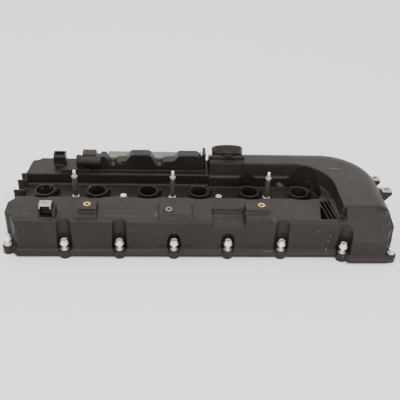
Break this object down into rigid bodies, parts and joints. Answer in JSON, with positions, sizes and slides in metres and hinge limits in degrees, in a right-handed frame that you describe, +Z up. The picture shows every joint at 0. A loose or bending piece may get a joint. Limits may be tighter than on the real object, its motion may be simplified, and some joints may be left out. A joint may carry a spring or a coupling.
{
  "type": "engine cylinder head cover",
  "caption": "Moulded plastic cylinder head cover for an inline six engine, with coil trench, captive bolts, oil separator, pressure valve and filler cap.",
  "frame": {"origin": "middle of the part's box, on the surface its gasket rests on", "axes": "+X along the plug row towards the timing end, +Y towards the oil separator side, +Z up, away from the engine"},
  "size_m": [0.678, 0.2524, 0.119],
  "materials": {
    "nylon_black": "satin moulded glass-filled nylon, scuffed",
    "nylon_grey": "worn grey nylon",
    "nylon_inner": "matt moulded nylon",
    "nylon_cap": "fine grained nylon",
    "rubber_black": "matt rubber",
    "rubber_red": "silicone rubber",
    "bolt_zinc": "bright zinc flake",
    "stud_steel": "bright zinc",
    "spacer_steel": "dull phosphated steel",
    "clip_steel": "dull spring steel",
    "brass": "machined brass"
  },
  "bodies": {
    "cover": {"cover_shell": "nylon_black", "rim_gasket": "rubber_black", "well_seals": "rubber_black", "bolt_grommets": "rubber_black", "bolt_sleeves": "bolt_zinc", "threaded_inserts": "brass", "plateau_clip_nut": "clip_steel", "upper_clip_nut": "clip_steel", "lower_clip_nut": "clip_steel", "sensor_sleeve": "spacer_steel", "valve_housing": "nylon_black", "valve_lid": "nylon_black", "valve_spring": "bolt_zinc", "heater_socket": "nylon_black", "socket_pins": "brass", "heater_element": "spacer_steel", "separator_housing": "nylon_black", "separator_rear": "nylon_grey", "separator_frame": "nylon_black", "impactor_plate": "nylon_inner", "flap_pin": "bolt_zinc", "drain_pipe": "nylon_inner", "breather_connector": "nylon_inner", "breather_o_ring": "rubber_red", "filler_neck": "nylon_black", "front_baffle": "nylon_inner", "rear_baffle": "nylon_inner", "baffle_screws": "bolt_zinc", "valve_diaphragm": "rubber_black"},
    "front_bolt_1": {"front_bolt_1": "bolt_zinc"},
    "front_bolt_2": {"front_bolt_2": "bolt_zinc"},
    "front_bolt_3": {"front_bolt_3": "bolt_zinc"},
    "front_bolt_4": {"front_bolt_4": "bolt_zinc"},
    "front_bolt_5": {"front_bolt_5": "bolt_zinc"},
    "front_bolt_6": {"front_bolt_6": "bolt_zinc"},
    "front_bolt_7": {"front_bolt_7": "bolt_zinc"},
    "front_bolt_8": {"front_bolt_8": "bolt_zinc"},
    "rear_bolt_1": {"rear_bolt_1": "bolt_zinc"},
    "rear_bolt_2": {"rear_bolt_2": "bolt_zinc"},
    "rear_bolt_3": {"rear_bolt_3": "bolt_zinc"},
    "rear_bolt_4": {"rear_bolt_4": "bolt_zinc"},
    "rear_bolt_5": {"rear_bolt_5": "bolt_zinc"},
    "rear_bolt_6": {"rear_bolt_6": "bolt_zinc"},
    "rear_bolt_7": {"rear_bolt_7": "bolt_zinc"},
    "stud_bolt_1": {"stud_bolt_1": "stud_steel", "stud_spacer_1": "spacer_steel"},
    "stud_bolt_2": {"stud_bolt_2": "stud_steel", "stud_spacer_2": "spacer_steel"},
    "stud_bolt_3": {"stud_bolt_3": "stud_steel", "stud_spacer_3": "spacer_steel"},
    "trench_bolt_1": {"trench_bolt_1": "bolt_zinc"},
    "trench_bolt_2": {"trench_bolt_2": "bolt_zinc"},
    "valve_plate": {"valve_plate": "nylon_inner"},
    "check_flap": {"check_flap": "rubber_black"},
    "filler_seal": {"filler_seal": "rubber_black"},
    "filler_cap": {"filler_cap": "nylon_cap"}
  },
  "joints": [
    {"name": "front_bolt_1_slide", "type": "slide", "parent": "cover", "child": "front_bolt_1", "axis": [0, 0, -1], "range_m": [0, 0.0095]},
    {"name": "front_bolt_2_slide", "type": "slide", "parent": "cover", "child": "front_bolt_2", "axis": [0, 0, -1], "range_m": [0, 0.0095]},
    {"name": "front_bolt_3_slide", "type": "slide", "parent": "cover", "child": "front_bolt_3", "axis": [0, 0, -1], "range_m": [0, 0.0095]},
    {"name": "front_bolt_4_slide", "type": "slide", "parent": "cover", "child": "front_bolt_4", "axis": [0, 0, -1], "range_m": [0, 0.0095]},
    {"name": "front_bolt_5_slide", "type": "slide", "parent": "cover", "child": "front_bolt_5", "axis": [0, 0, -1], "range_m": [0, 0.0095]},
    {"name": "front_bolt_6_slide", "type": "slide", "parent": "cover", "child": "front_bolt_6", "axis": [0, 0, -1], "range_m": [0, 0.0095]},
    {"name": "front_bolt_7_slide", "type": "slide", "parent": "cover", "child": "front_bolt_7", "axis": [0, 0, -1], "range_m": [0, 0.0095]},
    {"name": "front_bolt_8_slide", "type": "slide", "parent": "cover", "child": "front_bolt_8", "axis": [0, 0, -1], "range_m": [0, 0.0095]},
    {"name": "rear_bolt_1_slide", "type": "slide", "parent": "cover", "child": "rear_bolt_1", "axis": [0, 0, -1], "range_m": [0, 0.0095]},
    {"name": "rear_bolt_2_slide", "type": "slide", "parent": "cover", "child": "rear_bolt_2", "axis": [0, 0, -1], "range_m": [0, 0.0095]},
    {"name": "rear_bolt_3_slide", "type": "slide", "parent": "cover", "child": "rear_bolt_3", "axis": [0, 0, -1], "range_m": [0, 0.0095]},
    {"name": "rear_bolt_4_slide", "type": "slide", "parent": "cover", "child": "rear_bolt_4", "axis": [0, 0, -1], "range_m": [0, 0.0095]},
    {"name": "rear_bolt_5_slide", "type": "slide", "parent": "cover", "child": "rear_bolt_5", "axis": [0, 0, -1], "range_m": [0, 0.0095]},
    {"name": "rear_bolt_6_slide", "type": "slide", "parent": "cover", "child": "rear_bolt_6", "axis": [0, 0, -1], "range_m": [0, 0.0095]},
    {"name": "rear_bolt_7_slide", "type": "slide", "parent": "cover", "child": "rear_bolt_7", "axis": [0, 0, -1], "range_m": [0, 0.0095]},
    {"name": "stud_bolt_1_slide", "type": "slide", "parent": "cover", "child": "stud_bolt_1", "axis": [0, 0, 1], "range_m": [0, 0.01]},
    {"name": "stud_bolt_2_slide", "type": "slide", "parent": "cover", "child": "stud_bolt_2", "axis": [0, 0, 1], "range_m": [0, 0.01]},
    {"name": "stud_bolt_3_slide", "type": "slide", "parent": "cover", "child": "stud_bolt_3", "axis": [0, 0, 1], "range_m": [0, 0.01]},
    {"name": "trench_bolt_1_slide", "type": "slide", "parent": "cover", "child": "trench_bolt_1", "axis": [0, 0, 1], "range_m": [0, 0.01]},
    {"name": "trench_bolt_2_slide", "type": "slide", "parent": "cover", "child": "trench_bolt_2", "axis": [0, 0, 1], "range_m": [0, 0.01]},
    {"name": "valve_plate_slide", "type": "slide", "parent": "cover", "child": "valve_plate", "axis": [0, 0, -1], "range_m": [0, 0.004], "stiffness_N_per_m": 300, "deforming": ["valve_spring"]},
    {"name": "check_flap_swing", "type": "hinge", "parent": "cover", "child": "check_flap", "pos_m": [-0.031, 0.07375, 0.0855], "axis": [0, 1, 0], "range_deg": [-50, 0]},
    {"name": "filler_cap_lift", "type": "slide", "parent": "cover", "child": "filler_seal", "axis": [0, 0.6157, 0.788], "range_m": [0, 0.035]},
    {"name": "filler_cap_turn", "type": "hinge", "parent": "filler_seal", "child": "filler_cap", "pos_m": [0.049, 0.07775, 0.0885], "axis": [0, 0.6157, 0.788], "range_deg": [-75, 0]}
  ]
}
